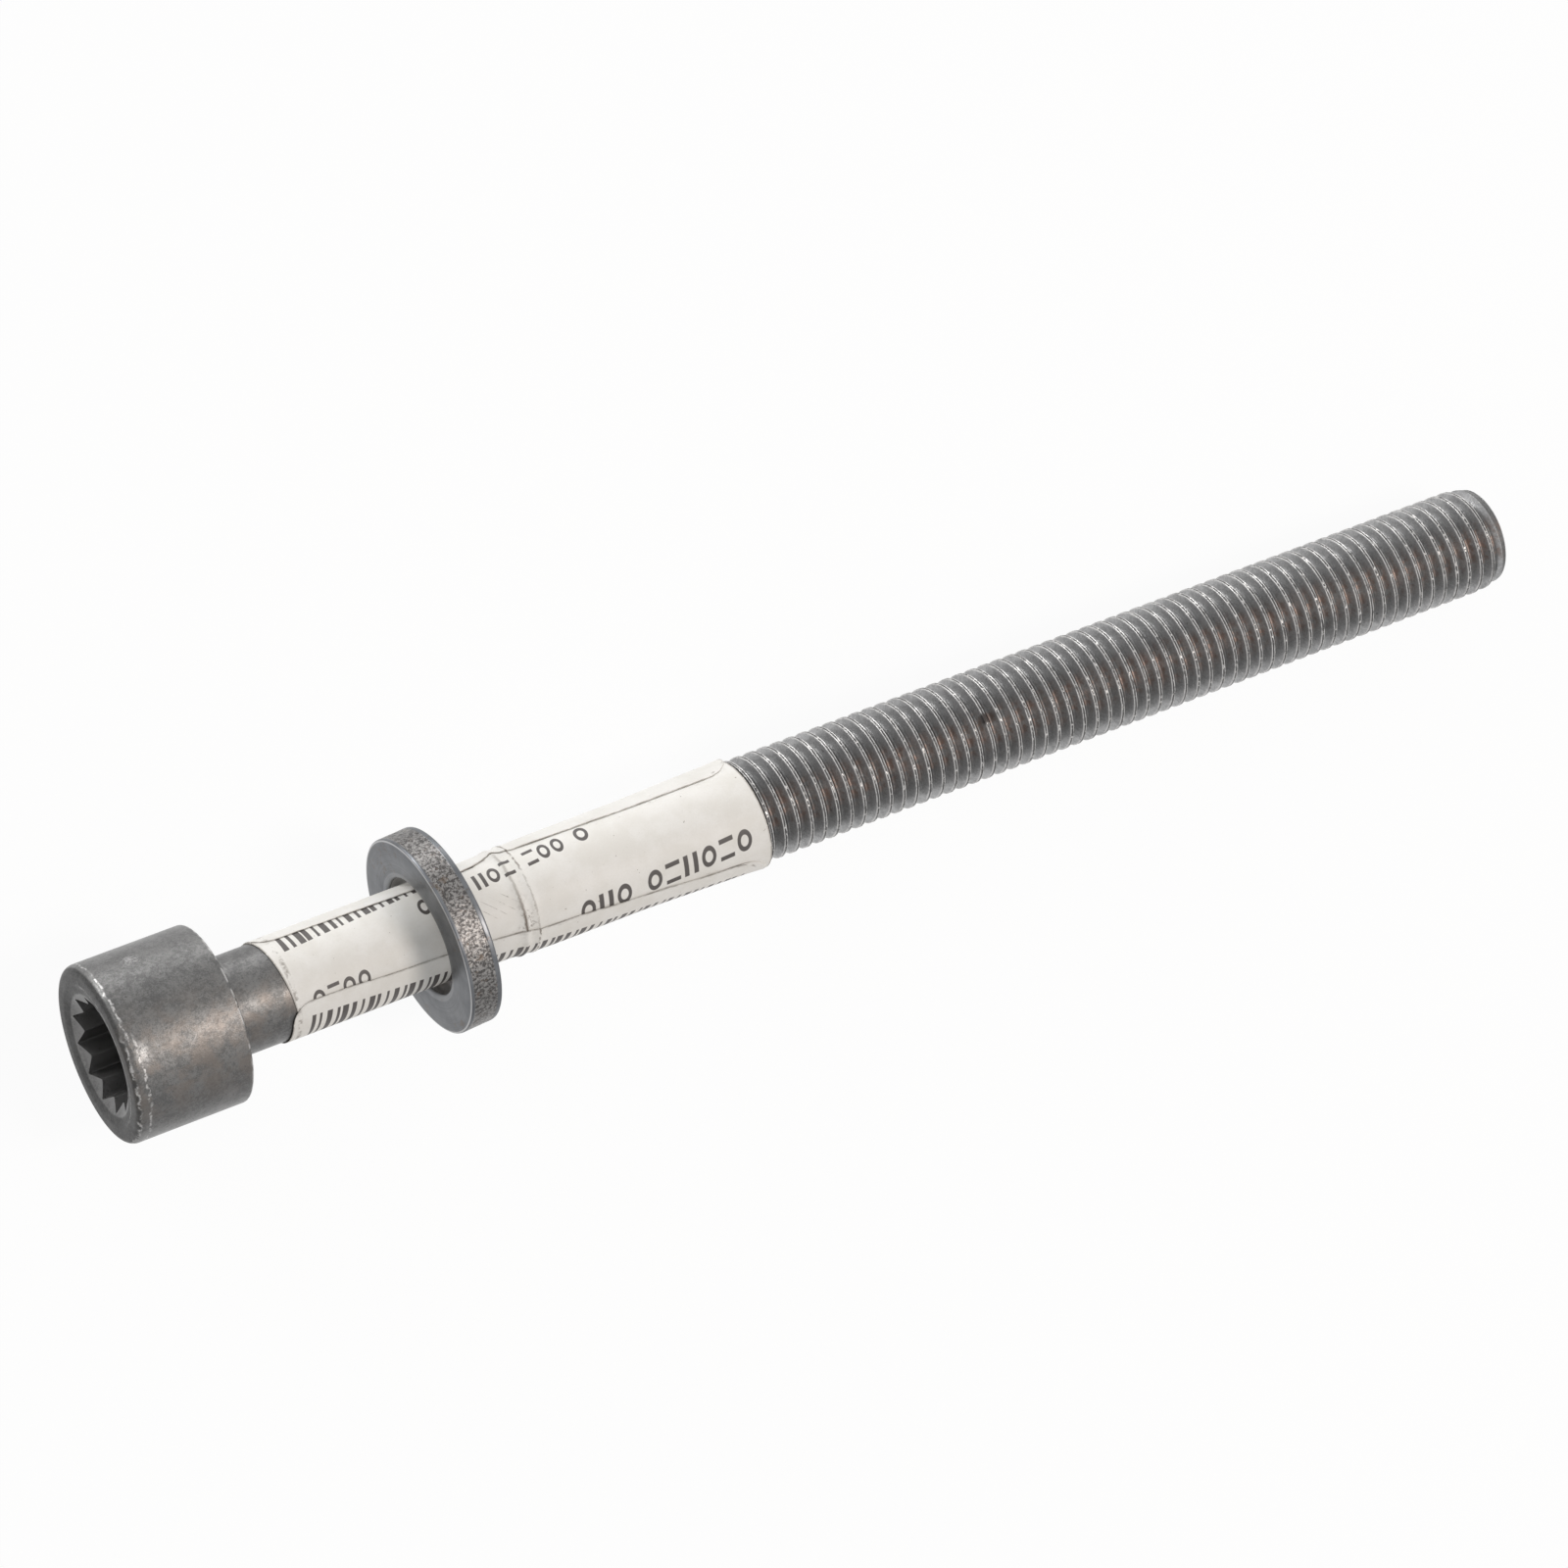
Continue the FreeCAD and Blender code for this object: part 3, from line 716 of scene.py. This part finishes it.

# %% [markdown]
# On the thread, the place along the axis and the angle together say how many turns lie behind a
# point, and the fraction of that is its distance from the middle of the crest. The flank towards
# the head is painted lighter than the roots, as painted light on the flank that faces the camera.
# The roots are reddish brown only on the side under the warm lamp: partly rust, partly a painted
# warm tint of its highlight. Each crest has two bright lines, partly rubbed and partly painted
# highlight, with a dark seam between them, and in the seam a few painted glints. One crest has a
# dark pit.

# %% The thread's finish
threaded = box.rise(x, 66.0, 67.0)
winding = box.calc("ADD", box.calc("DIVIDE", box.calc("SUBTRACT", x, THREAD_FROM), PITCH),
                   box.calc("DIVIDE", angle, 360.0))
from_crest = box.calc("MULTIPLY", box.calc("SUBTRACT", box.calc("FRACT", winding), 0.5), PITCH)
root_grey = box.blend(mottle, (0.065, 0.065, 0.065, 1), (0.125, 0.124, 0.123, 1))
# Painted light: a lighter, lit copy of the grey for the flank that faces the camera.
lit_flank_grey = box.blend(mottle, (0.27, 0.27, 0.272, 1), (0.44, 0.44, 0.443, 1))
lit_flank = box.all_of(box.band(from_crest, -0.37, 0.42, 0.35), box.rise(x, 158.1, 157.7))
# Reddish brown roots under the warm lamp only: partly rust, partly painted warm tint.
rust_and_warm_tint = box.all_of(box.rise(radius, 5.3, 4.8), box.band(angle, -12, 50, 0.6),
                  box.rise(box.grain(spot, 1.2, 4, 0.7), 0.42, 0.62), 0.75)
rolled = box.blend(rust_and_warm_tint, box.blend(lit_flank, root_grey, lit_flank_grey), (0.19, 0.125, 0.098, 1))
off_crest = box.calc("ABSOLUTE", box.calc("ADD", from_crest, box.calc("MULTIPLY", wander, 0.1)))
on_top = box.all_of(threaded, box.rise(radius, 5.2, 5.3), 0.85)
# Bright crest lines: partly rubbed wear, partly painted highlight.
crest_wear_and_highlight = box.all_of(on_top, box.band(off_crest, 0.15, 0.11, 0.5),
                   box.rise(box.grain(spot, 1.5, 4, 0.75), 0.28, 0.54))
seam = box.all_of(on_top, box.rise(off_crest, 0.13, 0.07))
# Painted glints: bright specks in the crest seams.
painted_glints = box.rise(box.grain(spot, 2.2, 3, 0.7), 0.55, 0.66)
pit = box.all_of(box.band(x, 96.1, 1.0, 0.4), box.band(angle, 3, 11, 0.4), 0.95)
print("nodes with the thread:", len(box.tree.nodes))

# %% [markdown]
# The colours are laid over each other: the coat, dark specks, the seams with their painted
# glints, the crest lines that are partly painted highlight, the pit, and the rubbed edges with the
# painted highlight spot last. The steel is all metal under a dull clear coat, which the
# end face of the head lacks.

# %% The bolt's steel
specks = box.all_of(box.rise(box.grain(spot, 2.2, 2), 0.68, 0.73), 0.5)
coat = box.blend(threaded, steel, rolled)
coat = box.blend(specks, coat, (0.03, 0.028, 0.027, 1))
# The seams with painted glints, then the crest lines, partly painted highlight.
coat = box.blend(seam, coat, box.blend(painted_glints, (0.04, 0.038, 0.037, 1), (0.66, 0.64, 0.62, 1)))
coat = box.blend(crest_wear_and_highlight, coat, (0.66, 0.65, 0.64, 1))
coat = box.blend(pit, coat, (0.025, 0.016, 0.013, 1))
# Rubbed edges and the painted highlight spot, in light grey.
coat = box.blend(box.calc("MULTIPLY", wear_and_highlight, 0.9), coat, (0.74, 0.73, 0.72, 1))
relief = box.calc("ADD", flecks, box.calc("MULTIPLY", fine, 0.8))
bump = box.node("Bump", {"Strength": 0.4, "Distance": 0.00004, "Height": relief}).outputs[0]
steel_shader = box.node("BsdfPrincipled", {
    "Base Color": coat, "Metallic": 1.0, "Roughness": box.rise(tone, 0.42, 0.58, 0.5, 0.4), "Normal": bump,
    "Coat Weight": box.rise(on_face, 0, 1, 0.8, 0.0), "Coat Roughness": 0.4, "Coat Normal": bump}).outputs[0]
bolt_piece.data.materials.append(box.finish(steel_shader))

# %% [markdown]
# ## The washer's steel
#
# The washer is plain steel, lighter and cooler than the bolt. Its faces were turned, so a noise
# that changes only with the radius draws very fine rings on them. The rim is rough, darker in
# its pits, with brownish stains. The edges were polished by the tool, and the bore's wall is
# painted light grey, as painted light on its shaded inside.

# %% The washer's steel
box = Paintbox("turned_washer_steel")
here = box.node("TexCoord").outputs["Object"]
spot = box.node("Mapping", {"Vector": here, "Location": washer_middle, "Rotation": hang.to_euler(),
                            "Scale": (0.001, 0.001, 0.001)}, vector_type="TEXTURE").outputs[0]
parts = box.node("SeparateXYZ", {0: spot}).outputs
radius = box.radius_in(parts)
side = box.calc("ABSOLUTE", parts[0])
rings = box.node("TexNoise", {"W": radius, "Scale": 7.0, "Detail": 3.0}, noise_dimensions="1D").outputs[0]
clouds = box.grain(spot, 0.5, 4, 0.6)
pits = box.grain(spot, 3.3, 4, 0.7)
on_rim = box.all_of(box.rise(radius, 9.9, 10.02), box.rise(parts[0], 1.2, 1.08),
                    box.rise(parts[0], -1.42, -1.3))
turned = box.calc("ADD", box.calc("MULTIPLY", rings, 0.4), box.calc("MULTIPLY", clouds, 0.6))
face = box.blend(box.rise(turned, 0.35, 0.65), (0.12, 0.126, 0.136, 1), (0.18, 0.186, 0.196, 1))
rough_rim = box.blend(box.rise(pits, 0.43, 0.57), (0.25, 0.242, 0.235, 1), (0.08, 0.076, 0.074, 1))
stain = box.all_of(box.rise(box.grain(spot, 0.9, 4, 0.7), 0.58, 0.66), 0.5)
colour = box.blend(stain, box.blend(on_rim, face, rough_rim), (0.12, 0.085, 0.06, 1))
edge_lines = box.most_of(box.all_of(box.band(side, 1.68, 0.14), box.band(radius, 9.98, 0.16)),
                         box.all_of(box.rise(side, 1.25, 1.4), box.rise(radius, 6.74, 6.68), 0.2))
colour = box.blend(box.calc("MULTIPLY", edge_lines, 0.7), colour, (0.6, 0.6, 0.6, 1))
# Painted light: the bore's shaded inner wall is made light grey.
bore_painted_light = box.all_of(box.rise(radius, 6.5, 6.4), box.rise(side, 1.35, 1.25))
colour = box.blend(bore_painted_light, colour, (0.75, 0.75, 0.76, 1))
relief = box.calc("ADD", box.calc("MULTIPLY", rings, 0.12),
                  box.calc("MULTIPLY", on_rim, box.calc("MULTIPLY", pits, -1.6)))
bump = box.node("Bump", {"Strength": 0.7, "Distance": 0.00006, "Height": relief}).outputs[0]
washer_shader = box.node("BsdfPrincipled", {
    "Base Color": colour, "Metallic": 1.0, "Roughness": box.rise(on_rim, 0, 1, 0.36, 0.29),
    "Normal": bump}).outputs[0]
washer_piece.data.materials.append(box.finish(washer_shader))

# %% [markdown]
# ## Printed paper
#
# The labels are off-white paper with plain dark print: a field of bars and rows of small
# rings, bars and dashes. Nothing has to be drawn by hand. A row is cut into cells along the
# bolt, and the mark in a cell is a test on the place inside it. Which mark it is comes from the
# fraction of the cell's number times 0.618, which jumps about but is the same on every run. Bars
# are made in the same way, with narrow cells that hold one bar each.

# %% Marks for the print
def on_the_label(box):
    """Place along the axis in millimetres and angle in degrees, from the label's own UV map."""
    layout = box.node("SeparateXYZ", {0: box.node("UVMap", uv_map="wrap").outputs[0]}).outputs
    x = box.calc("MULTIPLY", layout[0], UV_LENGTH)
    return x, box.calc("SUBTRACT", box.calc("MULTIPLY", layout[1], UV_TURN), UV_TURN_FROM)


def slanted(box, x, at, value, gradient):
    """A line across the label: its angle is value at one place, and changes by gradient per mm."""
    return box.calc("ADD", box.calc("MULTIPLY", box.calc("SUBTRACT", x, at), gradient), value)


def scattered(box, number, step, seed):
    """A value from 0 to 1 for each whole number, spread about but always the same."""
    return box.calc("FRACT", box.calc("ADD", box.calc("MULTIPLY", number, step), seed))


def bar_field(box, x, angle, first, last, top, bottom, lean, seed):
    """Bars between two places and two lines: one in every 0.9 mm, with a width and place of its own."""
    count = box.calc("DIVIDE", box.calc("ADD", x, box.calc("MULTIPLY", angle, lean)), 0.9)
    number = box.calc("FLOOR", count)
    pick = scattered(box, number, 0.618, seed)
    middle = box.calc("ADD", box.calc("MULTIPLY", scattered(box, number, 0.275, seed), 0.24), 0.38)
    inside = box.calc("ABSOLUTE", box.calc("SUBTRACT", box.calc("FRACT", count), middle))
    half_width = box.rise(pick, 0.1, 0.9, 0.15, 0.36)
    return box.all_of(box.rise(box.calc("SUBTRACT", half_width, inside), -0.03, 0.03),
                      box.rise(x, first - 0.02, first + 0.02),
                      box.rise(x, last + 0.02, last - 0.02),
                      box.rise(box.calc("SUBTRACT", top, angle), -0.3, 0.3),
                      box.rise(box.calc("SUBTRACT", angle, bottom), -0.3, 0.3))


def mark_row(box, x, angle, first, last, low_line, height, cell, seed):
    """A row of simple marks, each a ring, two bars or two dashes."""
    count = box.calc("DIVIDE", box.calc("SUBTRACT", x, first), cell)
    a = box.calc("FRACT", count)
    b = box.calc("DIVIDE", box.calc("SUBTRACT", angle, low_line), height)
    pick = scattered(box, box.calc("FLOOR", count), 0.618, seed)
    off_middle = box.node("CombineXYZ", {0: box.calc("DIVIDE", box.calc("SUBTRACT", a, 0.42), 0.4),
                                         1: box.calc("DIVIDE", box.calc("SUBTRACT", b, 0.5), 0.5)}).outputs[0]
    out = box.node("VectorMath", {0: off_middle}, operation="LENGTH").outputs["Value"]
    ring = box.band(out, 0.76, 0.46, 0.15)
    bars = box.most_of(box.band(a, 0.16, 0.25, 0.15), box.band(a, 0.68, 0.25, 0.15))
    dashes = box.all_of(box.most_of(box.band(b, 0.1, 0.22, 0.15), box.band(b, 0.9, 0.22, 0.15)),
                        box.rise(a, 0.84, 0.8), box.rise(a, 0.02, 0.06))
    inside = box.all_of(box.rise(b, -0.01, 0.01), box.rise(b, 1.01, 0.99),
                        box.rise(x, first - 0.01, first), box.rise(x, last + 0.01, last))
    is_ring, is_bars = box.rise(pick, 0.5, 0.49), box.rise(pick, 0.76, 0.75)
    rest_is_bars = box.all_of(bars, is_bars, box.calc("SUBTRACT", 1.0, is_ring))
    rest_is_dashes = box.all_of(dashes, box.calc("SUBTRACT", 1.0, is_bars))
    chosen = box.calc("ADD", box.all_of(ring, is_ring), box.calc("ADD", rest_is_bars, rest_is_dashes))
    return box.all_of(chosen, inside)


print("print marks ready")

# %% [markdown]
# The paper itself is not plain white. It has a faint fibre, it is yellowed in clouds, grime has
# gathered along the seams, and the paper is darker along the two creases. The same function
# finishes both labels, and only the ink differs.

# %% Paper with its grime
def paper_finish(name, ink_of):
    """The paper's material, with the ink that ink_of draws."""
    box = Paintbox(name)
    x, angle = on_the_label(box)
    spot = on_the_bolt(box)[0]
    fibre = box.grain(spot, 5.0, 4, 0.6)
    clouds = box.grain(spot, 0.35, 4, 0.6)
    paper = box.blend(box.rise(clouds, 0.35, 0.65), (0.82, 0.81, 0.78, 1), (0.765, 0.75, 0.71, 1))
    paper = box.blend(box.all_of(box.rise(fibre, 0.4, 0.7), 0.2), paper, (0.7, 0.68, 0.63, 1))
    gap = box.node("Attribute", attribute_name="seam_mm").outputs["Fac"]
    end = box.node("Attribute", attribute_name="end_mm").outputs["Fac"]
    rough = box.grain(spot, 1.6, 4, 0.7)
    streaks = box.grain(box.node("Mapping", {"Vector": spot, "Scale": (0.35, 1, 1)}).outputs[0], 1.3, 4, 0.75)
    grime = box.most_of(box.all_of(box.rise(gap, 0.2, 0.02), box.rise(streaks, 0.36, 0.6, 0.12, 0.75)),
                        box.all_of(box.rise(gap, 0.5, 0.1), box.rise(streaks, 0.54, 0.7), 0.5))
    cut_edge = box.all_of(box.rise(end, 0.2, 0.02), box.rise(rough, 0.3, 0.5), 0.65)
    left_grime = box.all_of(box.band(x, 18.9, 0.4, 0.8),
                            box.rise(box.grain(spot, 1.3, 4, 0.7), 0.44, 0.58), 0.6)
    bent = box.calc("ADD", x, box.calc("MULTIPLY", box.calc("SUBTRACT", rough, 0.5), 0.5))
    first_crease = box.all_of(box.band(bent, 43.36, 0.3, 0.9), box.rise(angle, 68, 60),
                              box.rise(angle, 20, -30, 0.45, 1.0), box.rise(rough, 0.28, 0.46, 0.5, 1.0))
    smudge = box.all_of(box.band(bent, 43.6, 1.5, 0.9), box.rise(rough, 0.5, 0.6),
                        box.rise(angle, 5, -45, 0.1, 0.9))
    second_crease = box.all_of(box.band(bent, 44.67, 0.2, 0.6), box.rise(angle, 20, 40, 0.35, 0.8),
                               box.rise(box.grain(spot, 1.2, 3), 0.34, 0.5))
    rubbing = box.calc("ADD", x, box.calc("MULTIPLY", angle, 0.09))
    scratches = box.all_of(box.band(box.calc("FRACT", box.calc("MULTIPLY", rubbing, 0.9)), 0.5, 0.09),
                           box.band(x, 41.2, 3.6), box.band(angle, -1, 22), box.rise(rough, 0.4, 0.6), 0.5)
    specks = box.all_of(box.rise(box.grain(spot, 2.8, 2), 0.73, 0.77), 0.75)
    # The seam grime, the other marks and the darker creases, in one mask.
    dark_marks = box.most_of(grime, cut_edge, left_grime, first_crease, smudge, second_crease, scratches, specks)
    paper = box.blend(dark_marks, paper, (0.15, 0.12, 0.095, 1))
    ink = box.all_of(ink_of(box, x, angle), box.rise(fibre, 0.2, 0.4, 0.8, 1.0))
    colour = box.blend(ink, paper, (0.075, 0.066, 0.062, 1))
    bump = box.node("Bump", {"Strength": 0.25, "Distance": 0.00003, "Height": fibre}).outputs[0]
    shader = box.node("BsdfPrincipled", {"Base Color": colour, "Roughness": 0.5, "Specular IOR Level": 0.6,
                                         "Normal": bump}).outputs[0]
    return box.finish(shader)


def front_ink(box, x, angle):
    bars = bar_field(box, x, angle, 19.7, 41.0, 200.0, slanted(box, x, 20, 36.75, 0.953), 0.0056, 0.15)
    small = [mark_row(box, x, angle, first, last, slanted(box, x, 33.7, 17.5, 0.84), 20, cell, seed)
             for first, last, cell, seed in ((33.6, 35.2, 1.6, 0.1), (39.9, 44.5, 1.53, 0.6),
                                             (45.6, 50.2, 1.53, 0.8), (51.3, 53.1, 1.8, 0.3))]
    large = [mark_row(box, x, angle, first, last, slanted(box, x, 49.3, -54.0, 0.775), 24.5, cell, seed)
             for first, last, cell, seed in ((49.2, 55.2, 2.0, 0.05), (56.6, 68.6, 2.0, 0.35))]
    cut = mark_row(box, x, angle, 20.5, 27.0, slanted(box, x, 20.6, -37.0, 0.625), 20, 1.625, 0.2)
    return box.most_of(bars, cut, *small, *large)


def back_ink(box, x, angle):
    bars = bar_field(box, x, angle, 20.0, 68.2, slanted(box, x, 20.25, 316.25, -0.755), 240.0, -0.0087, 0.7)
    rows = [mark_row(box, x, angle, first, last, slanted(box, x, 20.25, line, -0.755), height, cell, seed)
            for first, last, line, height, cell, seed in ((22.0, 40.0, 215.0, 20, 1.5, 0.4),
                                                          (46.0, 63.0, 180.0, 24, 1.9, 0.55))]
    return box.most_of(bars, *rows)


front_piece.data.materials.append(paper_finish("front_paper", front_ink))
back_piece.data.materials.append(paper_finish("back_paper", back_ink))

# %% [markdown]
# ## Floor, sky and lamps
#
# The bolt lies on a white floor. Steel shows what stands round it, so the world is plain white
# for the camera and for reflections, and half as strong as a light, which leaves room for the
# lamps. The floor glows white for the same rays and is lit a little besides, so that it stays
# white and still keeps the bolt's shadow. In reflections it is dimmer on the near side, where the
# room was darker, and that gives the steel its darker lower half.

# %% The white room
SKY_LIGHT = 0.48
GLOW_SHARE = 0.94
FLOOR_SIZE = 3.0
world = bpy.data.worlds.new("white_room")
bpy.context.scene.world = world
world.use_nodes = True
sky = world.node_tree
sky.nodes.clear()


def seen_rays(tree):
    """1 for camera, glossy and transmission rays, and 0 for the light that falls on things."""
    path = tree.nodes.new("ShaderNodeLightPath")
    total = path.outputs["Is Camera Ray"]
    for name in ("Is Glossy Ray", "Is Transmission Ray"):
        top = tree.nodes.new("ShaderNodeMath")
        top.operation = "MAXIMUM"
        tree.links.new(total, top.inputs[0])
        tree.links.new(path.outputs[name], top.inputs[1])
        total = top.outputs[0]
    return total


strength = sky.nodes.new("ShaderNodeMapRange")
strength.inputs["To Min"].default_value = SKY_LIGHT
strength.inputs["To Max"].default_value = 1.0
sky.links.new(seen_rays(sky), strength.inputs["Value"])
background = sky.nodes.new("ShaderNodeBackground")
background.inputs["Color"].default_value = (1, 1, 1, 1)
sky.links.new(strength.outputs[0], background.inputs["Strength"])
world_output = sky.nodes.new("ShaderNodeOutputWorld")
sky.links.new(background.outputs[0], world_output.inputs["Surface"])

ground = bmesh.new()
bmesh.ops.create_grid(ground, x_segments=1, y_segments=1, size=FLOOR_SIZE)
ground_mesh = bpy.data.meshes.new("floor")
ground.to_mesh(ground_mesh)
ground.free()
floor = bpy.data.objects.new("floor", ground_mesh)
bpy.context.collection.objects.link(floor)
box = Paintbox("white_floor")
lit = box.node("BsdfDiffuse", {"Color": (0.9, 0.9, 0.9, 1)}).outputs[0]
place = box.node("SeparateXYZ", {0: box.node("TexCoord").outputs["Object"]}).outputs
near_side = box.all_of(box.rise(place[1], 0.06, -0.12), box.node("LightPath").outputs["Is Glossy Ray"])
glow = box.node("Emission", {"Color": (1, 1, 1, 1),
                             "Strength": box.rise(near_side, 0, 1, 1.0, 0.6)}).outputs[0]
glowing = box.calc("MULTIPLY", seen_rays(box.tree), GLOW_SHARE)
floor_shader = box.node("MixShader", {0: glowing, 1: lit, 2: glow}).outputs[0]
floor.data.materials.append(box.finish(floor_shader))

# %% [markdown]
# Soft lamps shape the steel. A warm one stands over the near side and draws the long highlight
# along head and shank. A long, flat one lies low on the far side, where the upper part of the
# steel mirrors it. A third one stands off to the head's side, out of the mirror, and only
# whitens the far side of the paper.

# %% The lamps
def soft_lamp(name, way, distance, wide, high, power, colour):
    """An oval lamp in a direction of the bolt's own axes, turned to the middle of the bolt."""
    data = bpy.data.lights.new(name, "AREA")
    data.shape = "ELLIPSE"
    data.size = wide
    data.size_y = high
    data.energy = power
    data.color = colour
    lamp = bpy.data.objects.new(name, data)
    bpy.context.collection.objects.link(lamp)
    way = (axes @ Vector(way)).normalized()
    lamp.matrix_world = Matrix.Translation(way * distance) @ way.to_track_quat("Z", "Y").to_matrix().to_4x4()
    print(name, "at", tuple(round(c, 3) for c in lamp.matrix_world.translation))
    return lamp


soft_lamp("warm_lamp", (0.381, -0.27, 0.884), 0.9, 0.32, 0.32, 3.2, (1.0, 0.91, 0.845))
soft_lamp("side_lamp", (0.3, 0.95, 0.04), 0.9, 0.9, 0.06, 1.7, (1.0, 1.0, 1.0))
soft_lamp("far_lamp", (-0.45, 0.88, 0.1), 0.9, 0.6, 0.14, 3.4, (1.0, 1.0, 1.0))

# %% [markdown]
# ## Done
#
# The colours are shown with the Standard view transform.

# %% The view transform
bpy.context.scene.view_settings.view_transform = "Standard"
